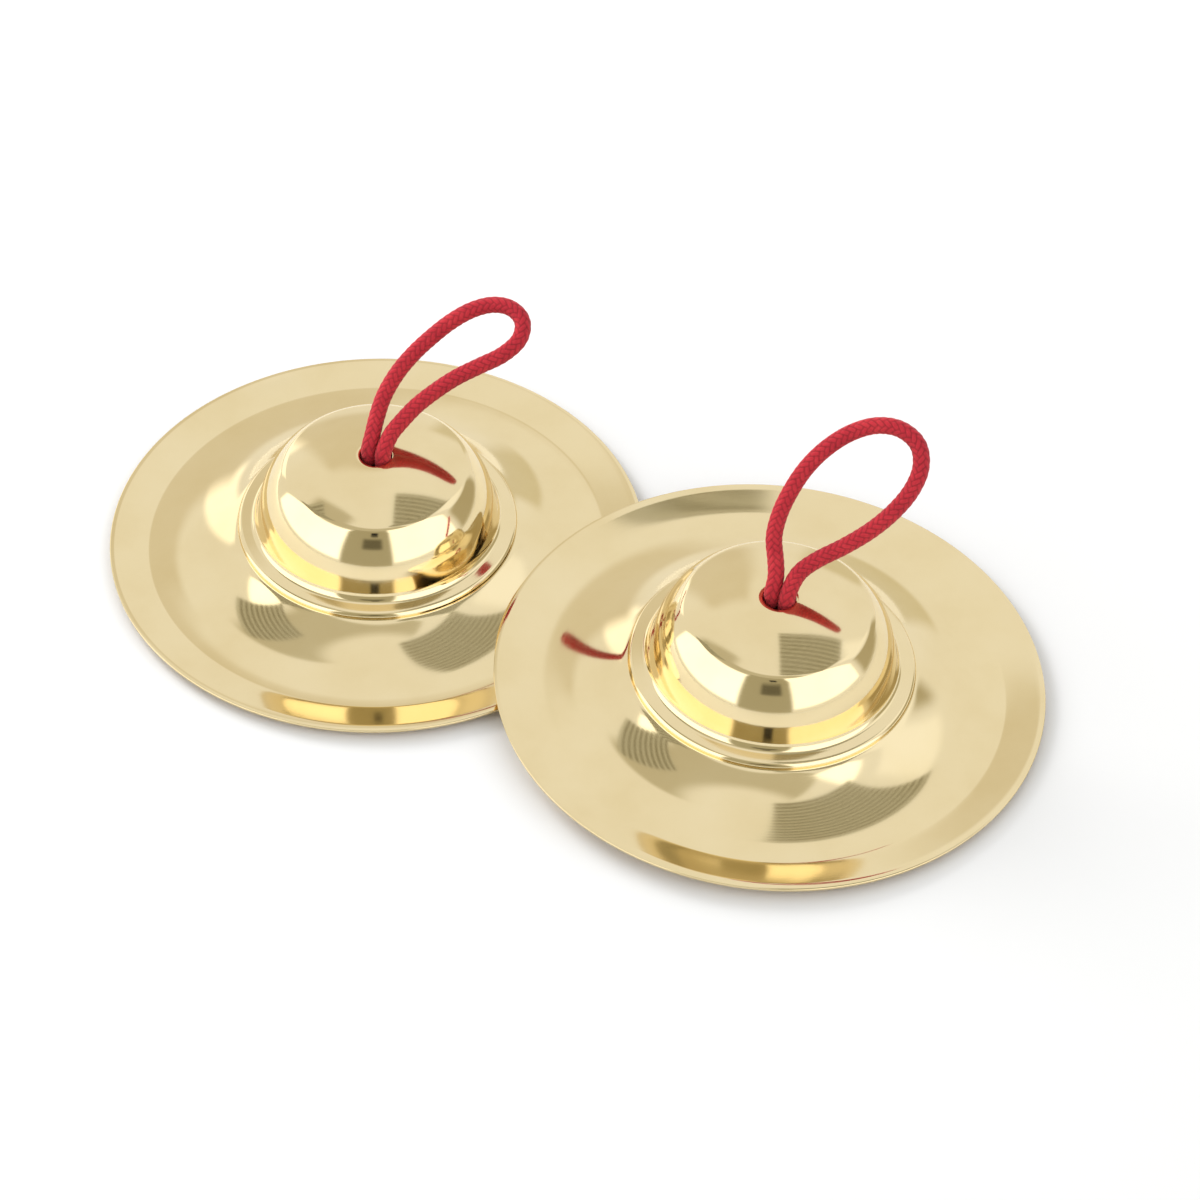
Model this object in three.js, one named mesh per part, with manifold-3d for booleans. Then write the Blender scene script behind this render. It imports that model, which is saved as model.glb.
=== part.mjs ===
// A pair of finger cymbals: two spun brass plates, each with a finger loop of braided cord that passes
// through the hole in its bell and is knotted underneath. Millimetres, +Z up. +X runs from the rear
// cymbal to the front one, whose rim lies on the rear one's bow, so the front one stands a little tilted.
import * as THREE from "three";
import { mergeVertices } from "three/addons/utils/BufferGeometryUtils.js";
import Module from "manifold-3d";

// Plate, from the hole outwards. Heights are above the surface that the plate lies on.
const RIM_RADIUS = 50;
const HOLE_RADIUS = 3;
const SHEET = 0.8;
const HEIGHT = 22.9;
const CROWN_CONTROL = { r: 9.3, z: 22.9 }; // bends the crown from flat at the hole to the shoulder
const SHOULDER = { r: 15.03, z: 17.08, radius: 3.5, startSlopeDeg: 20, endSlopeDeg: 45 };
const WALL = { r: 6.54, z: 8.59, radius: 15.5, startSlopeDeg: 45, endSlopeDeg: 77 };
const WALL_FOOT = { r: 22.3, z: 9.21 };
const COVE_CONTROL = { r: 22.68, z: 7.55 };
const LEDGE = { start: 23.6, end: 24.6, z: 7.42, fall: 0.12 };
const BEAD = { r: 25.05, z: 6.25, radius: 1, startDeg: 95, endDeg: -25 };
const FILLET_CONTROL = { r: 26.3, z: 5.75 };
const BOW_START = { r: 27.2, z: 5.2, slopeDeg: -31 };
const RESTING_RING = { inner: 41.8, outer: 42.8 };
const RIM_RISE = 1.5;
const RIM_TURN = { r: 43.6, z: 0.05 }; // how soon the rim turns up outside the resting ring
const PLATE_SEGMENTS = 48;

// Pose of the pair
const CENTRE_DISTANCE = 81;
const FRONT_TILT_DEG = 1.9;

// Cord
const CORD_DIAMETER = 3;
const CORD_SIDES = 8;
const STRAND_OFFSET = 1.6; // each strand's centre from the hole's axis
const HINGE_RISE = 1.5; // the line about which the loop leans, above the edge of the hole
const NECK = { radius: 2.6, shoulder: 22.6, topRadius: 1.6, top: 23.7 };
const KNOT = { radius: 4.8, halfHeight: 3.9, z: 18.7, rings: 10, segments: 20 };
const BEND = { rings: 4, segments: 12 }; // the facets of the cord's bend above the hole
const LOOP_STEPS = 24;
const TAIL_STEPS = 4;

// Each loop is flat: points in its own plane, first along +X, then up the plane from the hinge line.
const REAR_LOOP = {
  leanDeg: 36,
  points: [
    [-1.6, 2], [-2.2, 5.5], [-2.5, 9.8], [-1.8, 14.6], [-0.3, 19], [1.7, 23], [4.1, 26.9],
    [7, 30.2], [10.4, 32.4], [13.9, 32.9], [16.9, 31.4], [17.8, 28.2], [16, 24.4], [12.6, 20.9],
    [9.2, 17.4], [6.5, 13.8], [4.1, 9.9], [2.5, 6], [1.7, 3.6], [1.6, 2],
  ],
};
const FRONT_LOOP = {
  leanDeg: 49,
  points: [
    [-1.6, 2], [-2.7, 4.8], [-4.4, 8.4], [-4.9, 12.4], [-4.5, 16.9], [-3.3, 21.8], [-1.1, 26.4],
    [2.2, 30.6], [6.3, 33.5], [10.6, 34.3], [14.4, 32.8], [16.2, 29.4], [16.1, 25.3], [14.6, 20.9],
    [11.9, 16.2], [8.2, 11.6], [4.4, 7.6], [2.2, 4.5], [1.6, 2],
  ],
};
// The cord's two cut ends hang below the knot: points from the hole's axis, at heights like the plate's.
const TAILS = [
  [[-1.7, 0.6, 14.4], [-2.6, 1.2, 12.6], [-4.2, 2.2, 10.6], [-6.4, 3.2, 9]],
  [[1.7, -0.6, 14.3], [2.4, -1.6, 12.4], [3.4, -3.2, 10.2], [5, -5.2, 8.4]],
];

const rad = THREE.MathUtils.degToRad;
const wasm = await Module();
wasm.setup();

const brass = (name) =>
  new THREE.MeshStandardMaterial({ name, color: 0xd9c27a, roughness: 0.12, metalness: 1 });
const cordRed = (name) =>
  new THREE.MeshStandardMaterial({ name, color: 0xc41e3a, roughness: 0.9, metalness: 0 });

function solid(geometry) {
  const bare = geometry.clone();
  for (const name of Object.keys(bare.attributes)) {
    if (name !== "position") bare.deleteAttribute(name);
  }
  const merged = mergeVertices(bare, 1e-4);
  return new wasm.Manifold(
    new wasm.Mesh({
      numProp: 3,
      vertProperties: merged.attributes.position.array,
      triVerts: new Uint32Array(merged.index.array),
    }),
  );
}

function joined(...geometries) {
  const mesh = geometries.map(solid).reduce((a, b) => a.add(b)).getMesh();
  return new THREE.BufferGeometry()
    .setAttribute("position", new THREE.BufferAttribute(mesh.vertProperties, 3))
    .setIndex(new THREE.BufferAttribute(mesh.triVerts, 1));
}

// The plate's upper face, from the hole to the rim, as pairs of a curve and its number of steps.
function upperFace() {
  const onArc = (arc, slopeDeg) =>
    new THREE.Vector2(
      arc.r + arc.radius * Math.sin(rad(slopeDeg)),
      arc.z + arc.radius * Math.cos(rad(slopeDeg)),
    );
  const roundedOff = (arc) =>
    new THREE.EllipseCurve(
      arc.r, arc.z, arc.radius, arc.radius,
      rad(90 - arc.startSlopeDeg), rad(90 - arc.endSlopeDeg), true,
    );
  const beadEnd = rad(BEAD.endDeg);
  const beadExit = new THREE.Vector2(
    BEAD.r + BEAD.radius * Math.cos(beadEnd),
    BEAD.z + BEAD.radius * Math.sin(beadEnd),
  );
  const bowStart = new THREE.Vector2(BOW_START.r, BOW_START.z);
  const bowSlope = Math.tan(rad(BOW_START.slopeDeg));
  const bowReach = (RESTING_RING.inner - BOW_START.r) / 3;
  const face = [];
  const add = (curve, steps) => face.push({ curve, steps });
  const v = (r, z) => new THREE.Vector2(r, z);
  const at = ({ r, z }) => v(r, z);
  const wallFoot = at(WALL_FOOT);
  const ledgeStart = v(LEDGE.start, LEDGE.z);
  add(
    new THREE.QuadraticBezierCurve(
      v(HOLE_RADIUS, HEIGHT), at(CROWN_CONTROL), onArc(SHOULDER, SHOULDER.startSlopeDeg),
    ),
    2,
  );
  add(roundedOff(SHOULDER), 2);
  add(roundedOff(WALL), 3);
  add(new THREE.LineCurve(onArc(WALL, WALL.endSlopeDeg), wallFoot), 1);
  add(new THREE.QuadraticBezierCurve(wallFoot, at(COVE_CONTROL), ledgeStart), 2);
  add(new THREE.LineCurve(ledgeStart, v(LEDGE.end, LEDGE.z - LEDGE.fall)), 1);
  add(
    new THREE.EllipseCurve(
      BEAD.r, BEAD.z, BEAD.radius, BEAD.radius, rad(BEAD.startDeg), beadEnd, true,
    ),
    3,
  );
  add(new THREE.QuadraticBezierCurve(beadExit, at(FILLET_CONTROL), bowStart), 1);
  add(
    new THREE.CubicBezierCurve(
      bowStart,
      v(BOW_START.r + bowReach, BOW_START.z + bowReach * bowSlope),
      v(RESTING_RING.inner - bowReach, SHEET),
      v(RESTING_RING.inner, SHEET),
    ),
    4,
  );
  add(new THREE.LineCurve(v(RESTING_RING.inner, SHEET), v(RESTING_RING.outer, SHEET)), 1);
  add(
    new THREE.QuadraticBezierCurve(
      v(RESTING_RING.outer, SHEET), v(RIM_TURN.r, SHEET + RIM_TURN.z), v(RIM_RADIUS, SHEET + RIM_RISE),
    ),
    3,
  );
  return face;
}

// The closed section of the sheet: the underside, one sheet's thickness in from the upper face, and that face.
function plateSection() {
  const upper = upperFace().flatMap(({ curve, steps }, i) => curve.getPoints(steps).slice(i ? 1 : 0));
  const last = upper.length - 1;
  const inward = (i) => {
    const along = new THREE.Vector2().subVectors(upper[i + 1], upper[i]).normalize();
    return new THREE.Vector2(along.y, -along.x);
  };
  const lower = upper.map((p, i) => {
    const before = inward(Math.max(i - 1, 0));
    const after = inward(Math.min(i, last - 1));
    const mitre = before.clone().add(after).multiplyScalar(SHEET / (1 + before.dot(after)));
    const under = p.clone().add(mitre);
    under.x = THREE.MathUtils.clamp(under.x, HOLE_RADIUS, RIM_RADIUS);
    return under;
  });
  return [...lower, ...upper.reverse(), lower[0].clone()];
}

// LatheGeometry turns its profile about Y, so the result is laid over to turn about Z.
function turned(profile, segments) {
  return new THREE.LatheGeometry(profile, segments).rotateX(Math.PI / 2);
}

function tube(points, steps) {
  const path = new THREE.CatmullRomCurve3(points, false, "centripetal");
  const section = new THREE.Shape();
  for (let i = 0; i < CORD_SIDES; i++) {
    const a = (2 * Math.PI * i) / CORD_SIDES;
    const x = (CORD_DIAMETER / 2) * Math.cos(a);
    const y = (CORD_DIAMETER / 2) * Math.sin(a);
    if (i) section.lineTo(x, y);
    else section.moveTo(x, y);
  }
  return new THREE.ExtrudeGeometry(section, { steps, extrudePath: path });
}

// The knot with the neck of doubled cord above it, which ends in the bend about which the loop leans.
function knotGeometry() {
  const neckFoot = Math.acos(NECK.radius / KNOT.radius);
  const profile = [];
  for (let i = 0; i <= KNOT.rings; i++) {
    const a = -Math.PI / 2 + ((neckFoot + Math.PI / 2) * i) / KNOT.rings;
    profile.push(
      new THREE.Vector2(KNOT.radius * Math.cos(a), KNOT.z + KNOT.halfHeight * Math.sin(a)),
    );
  }
  profile[0].x = 0;
  profile.push(
    new THREE.Vector2(NECK.radius, NECK.shoulder),
    new THREE.Vector2(NECK.topRadius, NECK.top),
    new THREE.Vector2(0, NECK.top),
  );
  const bend = new THREE.CapsuleGeometry(
    CORD_DIAMETER / 2, 2 * STRAND_OFFSET, BEND.rings, BEND.segments,
  );
  bend.rotateZ(Math.PI / 2).translate(0, 0, HEIGHT + HINGE_RISE);
  return joined(turned(profile, KNOT.segments), bend);
}

function loopGeometry({ leanDeg, points }) {
  const lean = rad(leanDeg);
  const route = points.map(
    ([across, up]) =>
      new THREE.Vector3(across, up * Math.cos(lean), HEIGHT + HINGE_RISE + up * Math.sin(lean)),
  );
  return tube(route, LOOP_STEPS);
}

function cymbal(side, loop) {
  const group = new THREE.Group();
  const add = (name, geometry, material) => {
    const mesh = new THREE.Mesh(geometry, material(side + "_" + name));
    mesh.name = side + "_" + name;
    group.add(mesh);
  };
  add("cymbal", turned(plateSection(), PLATE_SEGMENTS), brass);
  add("cord_loop", loopGeometry(loop), cordRed);
  add("cord_knot", knotGeometry(), cordRed);
  TAILS.forEach((points, i) => {
    const route = points.map((p) => new THREE.Vector3(...p));
    add("cord_tail_" + (i + 1), tube(route, TAIL_STEPS), cordRed);
  });
  return group;
}

const rear = cymbal("rear", REAR_LOOP);
const front = cymbal("front", FRONT_LOOP);
const tilt = rad(FRONT_TILT_DEG);
front.rotation.y = tilt;
front.position.set(CENTRE_DISTANCE, 0, RESTING_RING.outer * Math.sin(tilt));

const pair = new THREE.Group();
pair.add(rear, front);

// The origin is under the middle of the two plates.
pair.updateMatrixWorld(true);
const box = new THREE.Box3();
for (const half of [rear, front]) box.expandByObject(half.children[0], true);
const middle = box.getCenter(new THREE.Vector3());
pair.position.set(-middle.x, -middle.y, -box.min.z);

export default pair;
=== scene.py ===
import math

import bpy
import numpy as np
from mathutils import Matrix, Vector


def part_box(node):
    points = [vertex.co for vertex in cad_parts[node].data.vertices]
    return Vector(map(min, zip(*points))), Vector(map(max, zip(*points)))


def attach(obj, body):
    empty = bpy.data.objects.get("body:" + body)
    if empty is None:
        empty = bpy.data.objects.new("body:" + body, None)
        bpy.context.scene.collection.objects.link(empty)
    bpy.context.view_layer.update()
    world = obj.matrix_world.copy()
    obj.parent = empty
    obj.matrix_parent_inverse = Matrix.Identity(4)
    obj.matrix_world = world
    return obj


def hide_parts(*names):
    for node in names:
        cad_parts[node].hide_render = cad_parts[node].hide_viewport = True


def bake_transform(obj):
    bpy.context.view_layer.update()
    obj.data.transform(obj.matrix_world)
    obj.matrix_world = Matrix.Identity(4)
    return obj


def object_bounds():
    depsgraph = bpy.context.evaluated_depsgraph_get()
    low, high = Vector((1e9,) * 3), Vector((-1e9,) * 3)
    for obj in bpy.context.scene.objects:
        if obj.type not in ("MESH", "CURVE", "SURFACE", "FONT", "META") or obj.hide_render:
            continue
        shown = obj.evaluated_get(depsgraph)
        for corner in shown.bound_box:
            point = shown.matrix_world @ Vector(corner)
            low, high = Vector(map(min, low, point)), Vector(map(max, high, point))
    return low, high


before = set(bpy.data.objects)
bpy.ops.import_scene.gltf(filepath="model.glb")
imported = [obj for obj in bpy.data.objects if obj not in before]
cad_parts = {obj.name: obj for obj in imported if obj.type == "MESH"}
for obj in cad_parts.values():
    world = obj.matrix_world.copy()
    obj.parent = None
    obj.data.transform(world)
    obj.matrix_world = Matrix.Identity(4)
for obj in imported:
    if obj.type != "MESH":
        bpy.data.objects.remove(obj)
cad_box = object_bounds()

# ---------------------------------------------------------------- driving values, metres and degrees
MM = 0.001
RAD = math.radians

# The two places: the middle of each plate's hole, at the height of the surface the rear plate lies on.
CENTRE_DISTANCE = 81 * MM
FRONT_TILT = RAD(1.9)
REAR_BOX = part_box("rear_cymbal")
RIM_RADIUS = (REAR_BOX[1][1] - REAR_BOX[0][1]) / 2
HOLE_RADIUS = 3 * MM
SHEET = 0.8 * MM
HEIGHT = 22.9 * MM
RESTING_RING = (41.8 * MM, 42.8 * MM)

REAR_PLACE = Matrix.Translation((REAR_BOX[0][0] + RIM_RADIUS, 0, REAR_BOX[0][2]))
FRONT_PLACE = (
    REAR_PLACE
    @ Matrix.Translation((CENTRE_DISTANCE, 0, RESTING_RING[1] * math.sin(FRONT_TILT)))
    @ Matrix.Rotation(FRONT_TILT, 4, "Y")
)

# Cord
CORD_DIAMETER = 3 * MM
HINGE_RISE = 1.5 * MM
HINGE = Vector((0, 0, HEIGHT + HINGE_RISE))
CARRIERS = 8           # braided yarns in each direction
PICK = 1.3 * MM        # length of cord from one crossing to the next
CELL = 8               # mesh steps across one crossing
YARN_RISE = 0.13 * MM  # how far the yarns stand proud of the grooves between them
MEAN_RELIEF = 0.8      # the relief at which a yarn's surface is on the cord's own radius
ROUND_END = 0.6        # height of a dome that closes a tube, in cord radii
CUT_END = 0.35
DOME_RINGS = 5
OFF_SEAM = 1e-6        # keeps lattice coordinates off the lines where two cells meet

# Where a loop's two strands run in the hole, and how far apart, before its outline starts
STRAND_OFFSET = 1.42 * MM
STRAND_RISE = ((1, 21.3), (1, 22.6), (1.02, 23.7))  # share of the offset, height in mm
# Each loop's outline in its own plane, in mm from the hinge, and the plane's lean from the horizontal
REAR_LOOP = {
    "lean": RAD(36),
    "points": [
        (-1.6, 2), (-2.2, 5.5), (-2.5, 9.8), (-1.8, 14.6), (-0.3, 19), (1.7, 23), (4.1, 26.9),
        (7, 30.2), (10.4, 32.4), (13.9, 32.9), (16.9, 31.4), (17.8, 28.2), (16, 24.4), (12.6, 20.9),
        (9.2, 17.4), (6.5, 13.8), (4.1, 9.9), (2.5, 6), (1.7, 3.6), (1.6, 2),
    ],
}
FRONT_LOOP = {
    "lean": RAD(49),
    "points": [
        (-1.6, 2), (-2.7, 4.8), (-4.4, 8.4), (-4.9, 12.4), (-4.5, 16.9), (-3.3, 21.8), (-1.1, 26.4),
        (2.2, 30.6), (6.3, 33.5), (10.6, 34.3), (14.4, 32.8), (16.2, 29.4), (16.1, 25.3), (14.6, 20.9),
        (11.9, 16.2), (8.2, 11.6), (4.4, 7.6), (2.2, 4.5), (1.6, 2),
    ],
}

# Knot: two strands that wind round each other below the hole and end in tails, (x, y, z) in mm
KNOT_START = ((1.4, 0, 22.2), (1.4, 0, 21.6))
KNOT_RADIUS = 2.35
KNOT_TOP = 20.1
KNOT_DROP = 3.5
KNOT_TURN = 1.5 * math.pi
KNOT_STEPS = 14
TAILS = {
    1: (-1, ((-1.9, 0.9, 14.2), (-2.9, 1.6, 12.2), (-4.3, 2.4, 10.6), (-6.2, 3.1, 9.2))),
    2: (1, ((1.9, -0.9, 14.1), (2.6, -2.0, 12.1), (3.5, -3.4, 10.2), (4.9, -5.0, 8.7))),
}

# Plate: the upper face from the hole to the rim, (radius, height) in mm, angles in degrees
CROWN_CONTROL = (9.3, 22.9)
SHOULDER = ((15.03, 17.08), 3.5, 70, 45)  # centre, radius, first and last angle
WALL = ((6.54, 8.59), 15.5, 45, 13)
WALL_FOOT = (22.3, 9.21)
COVE_CONTROL = (22.68, 7.55)
LEDGE = ((23.6, 7.42), (24.6, 7.3))
BEAD = ((25.05, 6.25), 1, 95, -25)
FILLET_CONTROL = (26.3, 5.75)
BOW_START = (27.2, 5.2)
BOW_START_SLOPE = math.tan(RAD(-31))
RIM_TURN = (43.6, 0.85)
RIM_RISE = 1.5
EDGE_ROUNDING = 0.22
EDGE_STEPS = 6
PLATE_TURNS = 288

# Camera: the photograph's angle
CAMERA_TARGET = Vector((2.98, 6.26, 0)) * MM
CAMERA_DISTANCE = 741.64 * MM
CAMERA_AZIMUTH = RAD(25.62)
CAMERA_ELEVATION = RAD(45.05)
CAMERA_ROLL = RAD(1.706)
CAMERA_LENS = 120
SENSOR_WIDTH = 36


# ---------------------------------------------------------------- camera
def make_camera():
    data = bpy.data.cameras.new("camera")
    data.lens = CAMERA_LENS
    data.sensor_width = SENSOR_WIDTH
    data.clip_start = 0.01
    data.clip_end = 20
    camera = bpy.data.objects.new("camera", data)
    bpy.context.scene.collection.objects.link(camera)
    back = Vector((
        math.sin(CAMERA_AZIMUTH) * math.cos(CAMERA_ELEVATION),
        -math.cos(CAMERA_AZIMUTH) * math.cos(CAMERA_ELEVATION),
        math.sin(CAMERA_ELEVATION),
    ))
    right = back.cross(Vector((0, 0, -1))).normalized()
    up = back.cross(right).normalized()
    turned_right = right * math.cos(CAMERA_ROLL) + up * math.sin(CAMERA_ROLL)
    turned_up = up * math.cos(CAMERA_ROLL) - right * math.sin(CAMERA_ROLL)
    axes = Matrix((turned_right, turned_up, back)).transposed().to_4x4()
    camera.matrix_world = Matrix.Translation(CAMERA_TARGET + back * CAMERA_DISTANCE) @ axes
    bpy.context.scene.camera = camera


# ---------------------------------------------------------------- mesh helpers
def new_object(name, vertices, faces, material, place=None, smooth=True):
    mesh = bpy.data.meshes.new(name)
    mesh.from_pydata([tuple(v) for v in vertices], [], faces)
    mesh.polygons.foreach_set("use_smooth", [smooth] * len(mesh.polygons))
    mesh.materials.append(material)
    mesh.update()
    piece = bpy.data.objects.new(name, mesh)
    bpy.context.scene.collection.objects.link(piece)
    if place is not None:
        piece.matrix_world = place
    return piece


# ---------------------------------------------------------------- cord geometry
def catmull_rom(points, steps=24):
    """A centripetal Catmull-Rom curve through the points."""
    p = np.array(points, float)
    p = np.vstack([2 * p[0] - p[1], p, 2 * p[-1] - p[-2]])
    out = []
    for i in range(1, len(p) - 2):
        p0, p1, p2, p3 = p[i - 1 : i + 3]
        t0 = 0.0
        t1 = t0 + np.linalg.norm(p1 - p0) ** 0.5
        t2 = t1 + np.linalg.norm(p2 - p1) ** 0.5
        t3 = t2 + np.linalg.norm(p3 - p2) ** 0.5
        t = np.linspace(t1, t2, steps, endpoint=False)[:, None]
        a1 = (t1 - t) / (t1 - t0) * p0 + (t - t0) / (t1 - t0) * p1
        a2 = (t2 - t) / (t2 - t1) * p1 + (t - t1) / (t2 - t1) * p2
        a3 = (t3 - t) / (t3 - t2) * p2 + (t - t2) / (t3 - t2) * p3
        b1 = (t2 - t) / (t2 - t0) * a1 + (t - t0) / (t2 - t0) * a2
        b2 = (t3 - t) / (t3 - t1) * a2 + (t - t1) / (t3 - t1) * a3
        out.append((t2 - t) / (t2 - t1) * b1 + (t - t1) / (t2 - t1) * b2)
    return np.vstack(out + [p[-2:-1]])


def length_of(line):
    return float(np.linalg.norm(np.diff(line, axis=0), axis=1).sum())


def evenly(line, count):
    """The same line as count + 1 points at equal distances."""
    along = np.concatenate([[0], np.cumsum(np.linalg.norm(np.diff(line, axis=0), axis=1))])
    at = np.linspace(0, along[-1], count + 1)
    return np.stack([np.interp(at, along, line[:, k]) for k in range(3)], axis=1)


def eased(line, rounds):
    """The line with its small kinks smoothed out and its ends kept."""
    line = line.copy()
    for _ in range(rounds):
        line[1:-1] = (line[:-2] + 2 * line[1:-1] + line[2:]) / 4
    return line


def carried_frames(line):
    """Tangents, and a normal and binormal at each point that don't twist about the line."""
    tangent = np.gradient(line, axis=0)
    tangent /= np.linalg.norm(tangent, axis=1)[:, None]
    normal = np.zeros_like(line)
    start = np.array([0.0, 1.0, 0.0]) - tangent[0] * tangent[0][1]
    normal[0] = start / np.linalg.norm(start)
    for i in range(1, len(line)):
        n = normal[i - 1] - tangent[i] * (normal[i - 1] @ tangent[i])
        normal[i] = n / np.linalg.norm(n)
    return tangent, normal, np.cross(tangent, normal)


def braid_relief(u, v):
    """The braid's height, 0 to 1, at lattice place u, v, and whether the first family is on top."""
    i = np.floor(u)
    j = np.floor(v)
    fu = u - i
    fv = v - j
    first = (i + j) % 4 < 2
    # place along a yarn's stretch on top, which spans two crossings
    along_first = np.where((i + j) % 4 < 1, fv, 1 + fv) / 2
    along_second = np.where((i + j) % 4 < 3, fu, 1 + fu) / 2
    across = np.where(first, fu, fv)
    along = np.where(first, along_first, along_second)
    round_top = np.sqrt(np.clip(1 - (2 * across - 1) ** 2 * 0.96, 0, 1))
    ends = np.clip(np.sin(np.pi * np.clip(along, 0, 1)), 0, 1) ** 0.45
    return round_top * (0.35 + 0.65 * ends), first


def braided_tube(name, line, material, place, domes=(ROUND_END, ROUND_END)):
    """A round braid of real relief along a line, closed by a dome at each end."""
    steps = max(8, round(length_of(line) / (PICK / CELL)))
    line = evenly(line, steps)
    around = CARRIERS * CELL
    tangent, normal, binormal = carried_frames(line)
    s = np.arange(steps + 1) / CELL
    turn = np.arange(around) / CELL
    u = turn[None, :] + s[:, None]
    v = turn[None, :] - s[:, None]
    relief, _ = braid_relief(u + OFF_SEAM, v + OFF_SEAM)
    radius = CORD_DIAMETER / 2 + YARN_RISE * (relief - MEAN_RELIEF)
    angle = 2 * np.pi * turn / CARRIERS
    rings = (
        line[:, None, :]
        + (radius * np.cos(angle))[..., None] * normal[:, None, :]
        + (radius * np.sin(angle))[..., None] * binormal[:, None, :]
    )
    vertices = rings.reshape(-1, 3)
    k, a = np.meshgrid(np.arange(steps), np.arange(around), indexing="ij")
    b = (a + 1) % around
    faces = np.stack([k * around + a, k * around + b, (k + 1) * around + b, (k + 1) * around + a], -1)
    faces = faces.reshape(-1, 4)
    extra = []
    cap_faces = []
    base = len(vertices)
    for dome, ring, out in ((domes[0], 0, -tangent[0]), (domes[1], steps, tangent[-1])):
        centre = line[ring]
        height = dome * CORD_DIAMETER / 2
        previous = np.arange(around) + ring * around
        for q in range(1, DOME_RINGS):
            bend = q / DOME_RINGS * math.pi / 2
            ids = np.arange(around) + base + len(extra)
            extra.extend(centre + (rings[ring] - centre) * math.cos(bend) + out * math.sin(bend) * height)
            for m in range(around):
                n = (m + 1) % around
                quad = [previous[m], previous[n], ids[n], ids[m]]
                cap_faces.append(quad[::-1] if ring == 0 else quad)
            previous = ids
        top = base + len(extra)
        extra.append(centre + out * height)
        for m in range(around):
            triangle = [previous[m], previous[(m + 1) % around], top]
            cap_faces.append(triangle[::-1] if ring == 0 else triangle)
    vertices = np.vstack([vertices, np.array(extra)])
    all_faces = faces.tolist() + [[int(x) for x in f] for f in cap_faces]
    piece = new_object(name, vertices, all_faces, material, place)
    lay_braid(piece.data, len(faces), steps, around)
    return piece


def lay_braid(mesh, wall_faces, steps, around):
    """Gives each face corner its place on the yarn on top, and each point its height in the braid."""
    corner_uv = np.zeros((len(mesh.loops), 2), np.float32)
    k, a = np.meshgrid(np.arange(steps), np.arange(around), indexing="ij")
    uc = (a + 0.5) / CELL + (k + 0.5) / CELL
    vc = (a + 0.5) / CELL - (k + 0.5) / CELL
    _, first = braid_relief(uc, vc)
    corners_a = np.stack([a, a + 1, a + 1, a], -1) / CELL
    corners_k = np.stack([k, k, k + 1, k + 1], -1) / CELL
    u = corners_a + corners_k
    v = corners_a - corners_k
    across = np.where(first[..., None], u, v)
    along = np.where(first[..., None], v, u)
    wall = np.stack([across, along], -1).reshape(-1, 2)
    corner_uv[: 4 * wall_faces] = wall
    layer = mesh.uv_layers.new(name="yarn")
    layer.data.foreach_set("uv", corner_uv.ravel())
    s = np.arange(steps + 1) / CELL
    turn = np.arange(around) / CELL
    relief, _ = braid_relief(turn[None, :] + s[:, None] + OFF_SEAM, turn[None, :] - s[:, None] + OFF_SEAM)
    depth = np.ones(len(mesh.vertices), np.float32)
    depth[: relief.size] = relief.ravel()
    attribute = mesh.attributes.new("relief", "FLOAT", "POINT")
    attribute.data.foreach_set("value", depth)


def loop_route(loop):
    """The whole loop, from under the hole, out, round and back in, in the plate's own place."""
    lean = loop["lean"]
    outward = [(-STRAND_OFFSET * share, 0.0, z * MM) for share, z in STRAND_RISE]
    inward = [(-x, y, z) for x, y, z in reversed(outward)]
    loose = [
        (x * MM, y * MM * math.cos(lean), HINGE.z + y * MM * math.sin(lean))
        for x, y in loop["points"]
    ]
    return outward + loose + inward


# ---------------------------------------------------------------- materials
def node_material(name):
    material = bpy.data.materials.new(name)
    material.use_nodes = True
    tree = material.node_tree
    tree.nodes.clear()
    out = tree.nodes.new("ShaderNodeOutputMaterial")
    shader = tree.nodes.new("ShaderNodeBsdfPrincipled")
    tree.links.new(shader.outputs["BSDF"], out.inputs["Surface"])
    return material, tree, shader


def add(tree, kind, values=None, **settings):
    node = tree.nodes.new("ShaderNode" + kind)
    for key, value in settings.items():
        setattr(node, key, value)
    for key, value in (values or {}).items():
        node.inputs[key].default_value = value
    return node


def ramp(tree, source, stops):
    node = tree.nodes.new("ShaderNodeValToRGB")
    while len(node.color_ramp.elements) < len(stops):
        node.color_ramp.elements.new(0.5)
    for element, (position, colour) in zip(node.color_ramp.elements, stops):
        element.position = position
        element.color = (*colour, 1)
    tree.links.new(source, node.inputs["Fac"])
    return node.outputs["Color"]


def grey(value):
    return (value, value, value)


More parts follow.
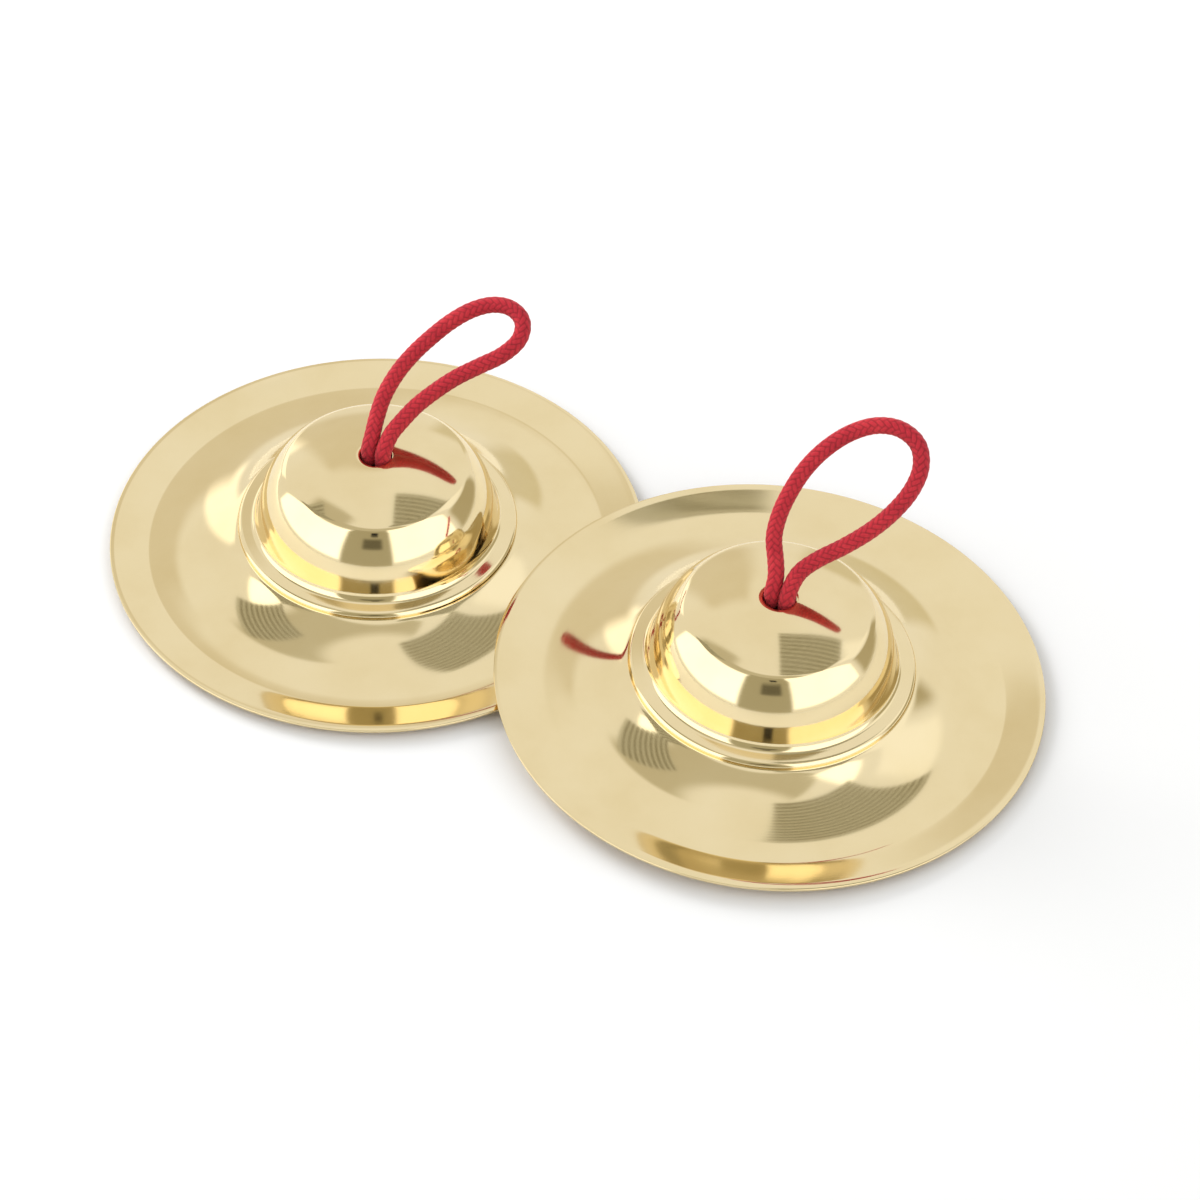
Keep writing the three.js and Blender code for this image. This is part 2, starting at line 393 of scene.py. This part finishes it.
def brass_material(name, polished):
    """Spun brass: rings about the plate's own Z axis in bump and roughness, and soft clouds in the tint.
    """
    material, tree, shader = node_material(name)
    link = tree.links.new
    place = add(tree, "TexCoord")
    apart = add(tree, "SeparateXYZ")
    link(place.outputs["Object"], apart.inputs["Vector"])
    xx = add(tree, "Math", operation="MULTIPLY")
    yy = add(tree, "Math", operation="MULTIPLY")
    for node, axis in ((xx, "X"), (yy, "Y")):
        link(apart.outputs[axis], node.inputs[0])
        link(apart.outputs[axis], node.inputs[1])
    total = add(tree, "Math", operation="ADD")
    link(xx.outputs[0], total.inputs[0])
    link(yy.outputs[0], total.inputs[1])
    radius = add(tree, "Math", operation="SQRT")
    link(total.outputs[0], radius.inputs[0])
    # rings: noise that changes fast with the radius and height and hardly with the angle
    ring_place = add(tree, "CombineXYZ")
    link(radius.outputs[0], ring_place.inputs["X"])
    link(apart.outputs["Z"], ring_place.inputs["Y"])
    fine_scale = 5200.0 if polished else 2600.0
    fine = add(tree, "TexNoise", {"Scale": fine_scale, "Detail": 3.0, "Roughness": 0.65})
    broad = add(tree, "TexNoise", {"Scale": 620.0, "Detail": 2.0, "Roughness": 0.5})
    link(ring_place.outputs["Vector"], fine.inputs["Vector"])
    link(ring_place.outputs["Vector"], broad.inputs["Vector"])
    patches = add(tree, "TexNoise", {"Scale": 55.0, "Detail": 4.0, "Roughness": 0.55})
    link(place.outputs["Object"], patches.inputs["Vector"])
    # colour: pale yellow brass with faint warmer and cooler clouds
    tint = ramp(tree, patches.outputs["Fac"], (
        (0.3, (0.81, 0.655, 0.365)),
        (0.5, (0.84, 0.69, 0.40)),
        (0.72, (0.86, 0.715, 0.43)),
    ) if polished else (
        (0.25, (0.60, 0.42, 0.19)),
        (0.5, (0.70, 0.51, 0.25)),
        (0.75, (0.76, 0.57, 0.30)),
    ))
    link(tint, shader.inputs["Base Color"])
    shader.inputs["Metallic"].default_value = 1.0
    mix = add(tree, "Mix", data_type="FLOAT")
    link(fine.outputs["Fac"], mix.inputs["A"])
    link(patches.outputs["Fac"], mix.inputs["B"])
    mix.inputs["Factor"].default_value = 0.5
    rough = add(tree, "MapRange", {
        "From Min": 0.3, "From Max": 0.7,
        "To Min": 0.045 if polished else 0.24, "To Max": 0.11 if polished else 0.40,
    })
    link(mix.outputs["Result"], rough.inputs["Value"])
    link(rough.outputs["Result"], shader.inputs["Roughness"])
    blend_rings = add(tree, "Mix", data_type="FLOAT")
    blend_rings.inputs["Factor"].default_value = 0.35 if polished else 0.5
    link(fine.outputs["Fac"], blend_rings.inputs["A"])
    link(broad.outputs["Fac"], blend_rings.inputs["B"])
    bump = add(tree, "Bump", {"Strength": 1.0, "Distance": 0.0000016 if polished else 0.000012})
    link(blend_rings.outputs["Result"], bump.inputs["Height"])
    link(bump.outputs["Normal"], shader.inputs["Normal"])
    return material


def cord_material(name):
    """Dyed braided cord: soft filaments along each yarn, painted shade that darkens the grooves between
    yarns, and a fine fuzz as sheen.
    """
    material, tree, shader = node_material(name)
    link = tree.links.new
    yarn = add(tree, "UVMap", uv_map="yarn")
    stretch = add(tree, "Mapping", {"Scale": (9.0, 0.9, 1.0)})
    link(yarn.outputs["UV"], stretch.inputs["Vector"])
    filaments = add(tree, "TexNoise", {"Scale": 1.6, "Detail": 3.0, "Roughness": 0.6})
    link(stretch.outputs["Vector"], filaments.inputs["Vector"])
    place = add(tree, "TexCoord")
    clouds = add(tree, "TexNoise", {"Scale": 260.0, "Detail": 3.0, "Roughness": 0.6})
    link(place.outputs["Object"], clouds.inputs["Vector"])
    both = add(tree, "Mix", data_type="FLOAT")
    both.inputs["Factor"].default_value = 0.45
    link(filaments.outputs["Fac"], both.inputs["A"])
    link(clouds.outputs["Fac"], both.inputs["B"])
    red = ramp(tree, both.outputs["Result"], (
        (0.30, (0.32, 0.008, 0.020)),
        (0.50, (0.48, 0.016, 0.030)),
        (0.70, (0.61, 0.036, 0.046)),
    ))
    # painted shade: the red is multiplied down to 0.35 where the braid's relief is low, in the grooves
    # between the yarns
    groove = add(tree, "Attribute", attribute_name="relief")
    depth = add(tree, "MapRange", {"From Min": 0.0, "From Max": 0.8, "To Min": 0.35, "To Max": 1.0})
    link(groove.outputs["Fac"], depth.inputs["Value"])
    painted_groove_shade = add(tree, "Mix", data_type="RGBA", blend_type="MULTIPLY")
    painted_groove_shade.inputs["Factor"].default_value = 1.0
    link(red, painted_groove_shade.inputs["A"])
    link(depth.outputs["Result"], painted_groove_shade.inputs["B"])
    link(painted_groove_shade.outputs["Result"], shader.inputs["Base Color"])
    rough = add(tree, "MapRange", {"To Min": 0.62, "To Max": 0.9})
    link(filaments.outputs["Fac"], rough.inputs["Value"])
    link(rough.outputs["Result"], shader.inputs["Roughness"])
    shader.inputs["Sheen Weight"].default_value = 0.35
    shader.inputs["Sheen Roughness"].default_value = 0.45
    shader.inputs["Sheen Tint"].default_value = (1.0, 0.45, 0.45, 1)
    shader.inputs["Specular IOR Level"].default_value = 0.3
    bump = add(tree, "Bump", {"Strength": 0.8, "Distance": 0.00006})
    link(filaments.outputs["Fac"], bump.inputs["Height"])
    link(bump.outputs["Normal"], shader.inputs["Normal"])
    return material


# ---------------------------------------------------------------- plate geometry
def bezier(*points, steps):
    """A Bezier curve of any order, as steps + 1 points."""
    t = np.linspace(0, 1, steps + 1)[:, None]
    rows = [np.repeat([p], steps + 1, axis=0).astype(float) for p in points]
    while len(rows) > 1:
        rows = [a * (1 - t) + b * t for a, b in zip(rows, rows[1:])]
    return rows[0]


def arc(centre, radius, start_deg, end_deg, steps):
    a = np.radians(np.linspace(start_deg, end_deg, steps + 1))
    return np.stack([centre[0] + radius * np.cos(a), centre[1] + radius * np.sin(a)], axis=1)


def upper_face():
    """The plate's upper face from the hole to the rim, (radius, height) in millimetres."""
    hole, height, sheet = HOLE_RADIUS / MM, HEIGHT / MM, SHEET / MM
    inner, outer = (r / MM for r in RESTING_RING)
    rim = RIM_RADIUS / MM
    shoulder = arc(*SHOULDER, 16)
    wall = arc(*WALL, 24)
    bead = arc(*BEAD, 14)
    reach = (inner - BOW_START[0]) / 3
    stretches = [
        bezier((hole, height), CROWN_CONTROL, shoulder[0], steps=16),
        shoulder,
        wall,
        bezier(wall[-1], WALL_FOOT, steps=6),
        bezier(WALL_FOOT, COVE_CONTROL, LEDGE[0], steps=18),
        bezier(*LEDGE, steps=3),
        bead,
        bezier(bead[-1], FILLET_CONTROL, BOW_START, steps=6),
        bezier(
            BOW_START,
            (BOW_START[0] + reach, BOW_START[1] + reach * BOW_START_SLOPE),
            (inner - reach, sheet),
            (inner, sheet),
            steps=30,
        ),
        bezier((inner, sheet), (outer, sheet), steps=2),
        bezier((outer, sheet), RIM_TURN, (rim, sheet + RIM_RISE), steps=14),
    ]
    joined = [stretches[0]] + [s[1:] for s in stretches[1:]]
    return np.vstack(joined)


def plate_section():
    """The closed section: upper face, rounded rim, underside, rounded edge of the hole.
    With it comes the number of points on the upper face."""
    upper = upper_face()
    along = np.gradient(upper, axis=0)
    along /= np.linalg.norm(along, axis=1)[:, None]
    inward = np.stack([along[:, 1], -along[:, 0]], axis=1)
    sheet = SHEET / MM
    lower = upper + inward * sheet
    keep = np.concatenate([[True], np.linalg.norm(np.diff(lower, axis=0), axis=1) > 0.02])
    lower = lower[keep]
    lower[:, 0] = np.clip(lower[:, 0], HOLE_RADIUS / MM, RIM_RADIUS / MM)
    top, under = (
        face[
            (np.abs(face[:, 0] - RIM_RADIUS / MM) > EDGE_ROUNDING)
            & (np.abs(face[:, 0] - HOLE_RADIUS / MM) > EDGE_ROUNDING)
        ]
        for face in (upper, lower)
    )
    rim = np.array([RIM_RADIUS / MM, (upper[-1][1] + lower[-1][1]) / 2])
    hole = np.array([HOLE_RADIUS / MM, HEIGHT / MM - sheet / 2])

    def turn_over(start, tip, end):
        """A rounded edge from one face over the tip to the other, as two quarter turns."""
        edge = tip[0]
        first_corner = (edge, start[1] + (start[1] - tip[1]) * 0.06)
        second_corner = (edge, end[1] + (end[1] - tip[1]) * 0.06)
        upper_tip = (edge, tip[1] + (start[1] - tip[1]) * 0.35)
        lower_tip = (edge, tip[1] + (end[1] - tip[1]) * 0.35)
        return np.vstack([
            bezier(start, first_corner, upper_tip, steps=EDGE_STEPS)[1:],
            bezier(upper_tip, lower_tip, steps=2)[1:],
            bezier(lower_tip, second_corner, end, steps=EDGE_STEPS)[1:-1],
        ])

    return np.vstack([
        top,
        turn_over(top[-1], rim, under[-1]),
        under[::-1],
        turn_over(under[0], hole, top[0]),
    ]), len(top)


def make_plate(name, place, node, body, materials):
    section, top_count = plate_section()
    section = section * MM
    count = len(section)
    angles = 2 * np.pi * np.arange(PLATE_TURNS) / PLATE_TURNS
    vertices = np.stack([
        np.outer(np.cos(angles), section[:, 0]),
        np.outer(np.sin(angles), section[:, 0]),
        np.repeat(section[None, :, 1], PLATE_TURNS, axis=0),
    ], axis=-1).reshape(-1, 3)
    k, i = np.meshgrid(np.arange(PLATE_TURNS), np.arange(count), indexing="ij")
    k2 = (k + 1) % PLATE_TURNS
    i2 = (i + 1) % count
    faces = np.stack([k * count + i, k * count + i2, k2 * count + i2, k2 * count + i], -1).reshape(-1, 4)
    plate = new_object(name, vertices, faces.tolist(), materials[0], place)
    plate.data.materials.append(materials[1])
    edge = EDGE_STEPS + 2
    under = np.tile((np.arange(count) > top_count + edge) & (np.arange(count) < count - edge), PLATE_TURNS)
    plate.data.polygons.foreach_set("material_index", under.astype(np.int32))
    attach(plate, body)
    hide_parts(node)
    return plate


# ---------------------------------------------------------------- the object
def make_loop(side, loop, place, material):
    route = catmull_rom(loop_route(loop))
    route = eased(evenly(route, 400), 12)
    cord = braided_tube(side + "_cord", route, material, place)
    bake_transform(cord)
    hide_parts(side + "_cord_loop")
    path = [place @ Vector(p) for p in evenly(route, 160)]
    return cord, path, length_of(route)


def make_knot(side, place, material):
    pieces = []
    for number, (sign, tail) in TAILS.items():
        entry = [(sign * x, y, z) for x, y, z in KNOT_START]
        coil = []
        for i in range(KNOT_STEPS + 1):
            t = i / KNOT_STEPS
            angle = t * KNOT_TURN + (0 if sign > 0 else math.pi)
            coil.append((
                KNOT_RADIUS * math.cos(angle), KNOT_RADIUS * math.sin(angle), KNOT_TOP - KNOT_DROP * t,
            ))
        line = catmull_rom([(x * MM, y * MM, z * MM) for x, y, z in (*entry, *coil, *tail)])
        line = eased(evenly(line, 300), 25)
        name = f"{side}_knot_strand_{number}"
        piece = braided_tube(name, line, material, place, domes=(ROUND_END, CUT_END))
        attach(piece, side + "_knot")
        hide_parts(side + "_cord_knot", f"{side}_cord_tail_{number}")
        pieces.append(piece)
    return pieces


# ---------------------------------------------------------------- light and floor
# The room that the polished brass mirrors, as soft-edged areas of light and dark on the sky.
# Walls: azimuth (0 is +Y, 90 is +X) and elevation ranges in degrees, edge softness, brightness.
WALL_LIGHT = (
    ((282, 312), (6, 24), 4, (1.55, 1.56, 1.58)),
    ((308, 332), (10, 48), 7, (0.80, 0.77, 0.70)),
    ((345, 362), (0, 20), 5, (0.76, 0.73, 0.62)),
    ((24, 66), (0, 26), 8, (0.50, 0.46, 0.34)),
    ((26, 60), (32, 54), 6, (1.12, 1.14, 1.18)),
    ((100, 288), (56, 76), 6, (0.62, 0.60, 0.52)),
    ((72, 136), (4, 62), 3, (1.75, 1.77, 1.80)),
    ((186, 264), (3, 52), 3, (1.95, 1.97, 2.00)),
    ((138, 184), (0, 60), 3, (0.46, 0.44, 0.34)),
    ((146, 166), (24, 38), 5, (0.16, 0.15, 0.11)),
    ((150, 158), (41, 49), 2, (0.03, 0.03, 0.03)),
)
# Ceiling: the middle and half size of each slatted panel in degrees, across and along the room, which is
# turned from east and north by CEILING_TURN; edge softness, brightness, and the pitch of the slats.
CEILING_TURN = RAD(27.4)
CEILING_LIGHT = (
    ((18, 8.5), (12, 15.5), 1.5, (0.60, 0.60, 0.54), 2.3),
    ((-30, 10.5), (8, 10.5), 1.5, (0.60, 0.60, 0.54), 2.3),
)
SLAT_SHADE = (0.27, 0.26, 0.20)
ROOM_LIGHT = (0.96, 0.97, 0.99)
# A broad light on the left, for the soft shadows to the right and in front
SIDE_LIGHT_PLACE = (-0.95, 0.25, 0.5)
SIDE_LIGHT_SIZE = 0.5
SIDE_LIGHT_ENERGY = 8.0
FLOOR_REACH = 3.0


def math_node(tree, operation, a, b=None):
    """The output of a Math node whose inputs are sockets or numbers."""
    node = add(tree, "Math", operation=operation)
    for socket, value in zip(node.inputs, (a, b)):
        if isinstance(value, bpy.types.NodeSocket):
            tree.links.new(value, socket)
        elif value is not None:
            socket.default_value = value
    return node.outputs[0]


def soft_step(tree, value, edge, softness):
    """1 where value is below edge, 0 above, with a soft passage."""
    node = add(tree, "MapRange", {
        "From Min": edge - softness / 2, "From Max": edge + softness / 2, "To Min": 1.0, "To Max": 0.0,
    }, interpolation_type="SMOOTHSTEP")
    tree.links.new(value, node.inputs["Value"])
    return node.outputs["Result"]


def paint_over(tree, below, colour, mask):
    """The colour socket below, with colour laid over it where mask is 1."""
    node = add(tree, "Mix", data_type="RGBA")
    tree.links.new(mask, node.inputs["Factor"])
    tree.links.new(below, node.inputs["A"])
    node.inputs["B"].default_value = (*colour, 1)
    return node.outputs["Result"]


def make_lights():
    world = bpy.data.worlds.new("studio")
    bpy.context.scene.world = world
    world.use_nodes = True
    tree = world.node_tree
    background = tree.nodes["Background"]
    apart = add(tree, "SeparateXYZ")
    tree.links.new(add(tree, "TexCoord").outputs["Generated"], apart.inputs["Vector"])
    x, y, z = (apart.outputs[axis] for axis in "XYZ")
    elevation = math_node(tree, "DEGREES", math_node(tree, "ARCSINE", z))
    start = add(tree, "RGB")
    start.outputs[0].default_value = (*ROOM_LIGHT, 1)
    light = start.outputs[0]
    for (first, last), (low, high), softness, colour in WALL_LIGHT:
        middle = RAD((first + last) / 2)
        # the azimuth from the patch's middle, free of the wrap at 360
        ahead = math_node(tree, "ADD", math_node(tree, "MULTIPLY", x, math.sin(middle)),
                          math_node(tree, "MULTIPLY", y, math.cos(middle)))
        aside = math_node(tree, "SUBTRACT", math_node(tree, "MULTIPLY", x, math.cos(middle)),
                          math_node(tree, "MULTIPLY", y, math.sin(middle)))
        turned = math_node(tree, "DEGREES", math_node(tree, "ARCTAN2", aside, ahead))
        off = math_node(tree, "ABSOLUTE", turned)
        rise = math_node(tree, "ABSOLUTE", math_node(tree, "SUBTRACT", elevation, (low + high) / 2))
        mask = math_node(tree, "MULTIPLY", soft_step(tree, off, (last - first) / 2, softness),
                         soft_step(tree, rise, (high - low) / 2, softness))
        light = paint_over(tree, light, colour, mask)
    flat = math_node(tree, "SQRT", math_node(tree, "SUBTRACT", 1.0001, math_node(tree, "MULTIPLY", z, z)))
    from_zenith = math_node(tree, "DIVIDE", math_node(tree, "SUBTRACT", 90, elevation), flat)
    east = math_node(tree, "MULTIPLY", x, from_zenith)
    north = math_node(tree, "MULTIPLY", y, from_zenith)
    cosine, sine = math.cos(CEILING_TURN), math.sin(CEILING_TURN)
    across = math_node(tree, "ADD", math_node(tree, "MULTIPLY", east, cosine),
                       math_node(tree, "MULTIPLY", north, sine))
    along = math_node(tree, "SUBTRACT", math_node(tree, "MULTIPLY", north, cosine),
                      math_node(tree, "MULTIPLY", east, sine))
    for (mid_across, mid_along), (half_across, half_along), softness, colour, slat in CEILING_LIGHT:
        off_across = math_node(tree, "SUBTRACT", across, mid_across)
        off_along = math_node(tree, "SUBTRACT", along, mid_along)
        mask = math_node(
            tree, "MULTIPLY",
            soft_step(tree, math_node(tree, "ABSOLUTE", off_across), half_across, softness),
            soft_step(tree, math_node(tree, "ABSOLUTE", off_along), half_along, softness),
        )
        light = paint_over(tree, light, colour, mask)
        wave = math_node(tree, "SINE", math_node(tree, "MULTIPLY", off_along, 2 * math.pi / slat))
        dark = math_node(tree, "MULTIPLY", mask, soft_step(tree, wave, 0.1, 0.8))
        light = paint_over(tree, light, SLAT_SHADE, dark)
    tree.links.new(light, background.inputs["Color"])
    background.inputs["Strength"].default_value = 1.0
    data = bpy.data.lights.new("side_light", "AREA")
    data.size = SIDE_LIGHT_SIZE
    data.energy = SIDE_LIGHT_ENERGY
    side_light = bpy.data.objects.new("side_light", data)
    bpy.context.scene.collection.objects.link(side_light)
    side_light.location = SIDE_LIGHT_PLACE
    side_light.rotation_euler = Vector(SIDE_LIGHT_PLACE).to_track_quat("Z", "Y").to_euler()
    side_light.visible_glossy = False


def make_floor():
    material, tree, shader = node_material("floor")
    noise = add(tree, "TexNoise", {"Scale": 40.0, "Detail": 3.0})
    shade = ramp(tree, noise.outputs["Fac"], ((0.3, grey(0.79)), (0.7, grey(0.81))))
    tree.links.new(shade, shader.inputs["Base Color"])
    shader.inputs["Roughness"].default_value = 0.75
    r = FLOOR_REACH
    floor = new_object(
        "floor", [(-r, -r, 0), (r, -r, 0), (r, r, 0), (-r, r, 0)], [(0, 1, 2, 3)],
        material, Matrix.Translation((0, 0, cad_box[0].z)), smooth=False,
    )


# ---------------------------------------------------------------- build
make_camera()
PLACES = {"rear": REAR_PLACE, "front": FRONT_PLACE}
LOOPS = {"rear": REAR_LOOP, "front": FRONT_LOOP}
cord_red = cord_material("cord_crimson")
polished = brass_material("brass_polished", True)
turned_brass = brass_material("brass_underside", False)
for side, place in PLACES.items():
    knot = make_knot(side, place, cord_red)
    cord, path, long = make_loop(side, LOOPS[side], place, cord_red)
    make_plate(side + "_plate", place, side + "_cymbal", side + "_plate", (polished, turned_brass))
make_floor()
make_lights()
bpy.context.scene.view_settings.view_transform = "Standard"
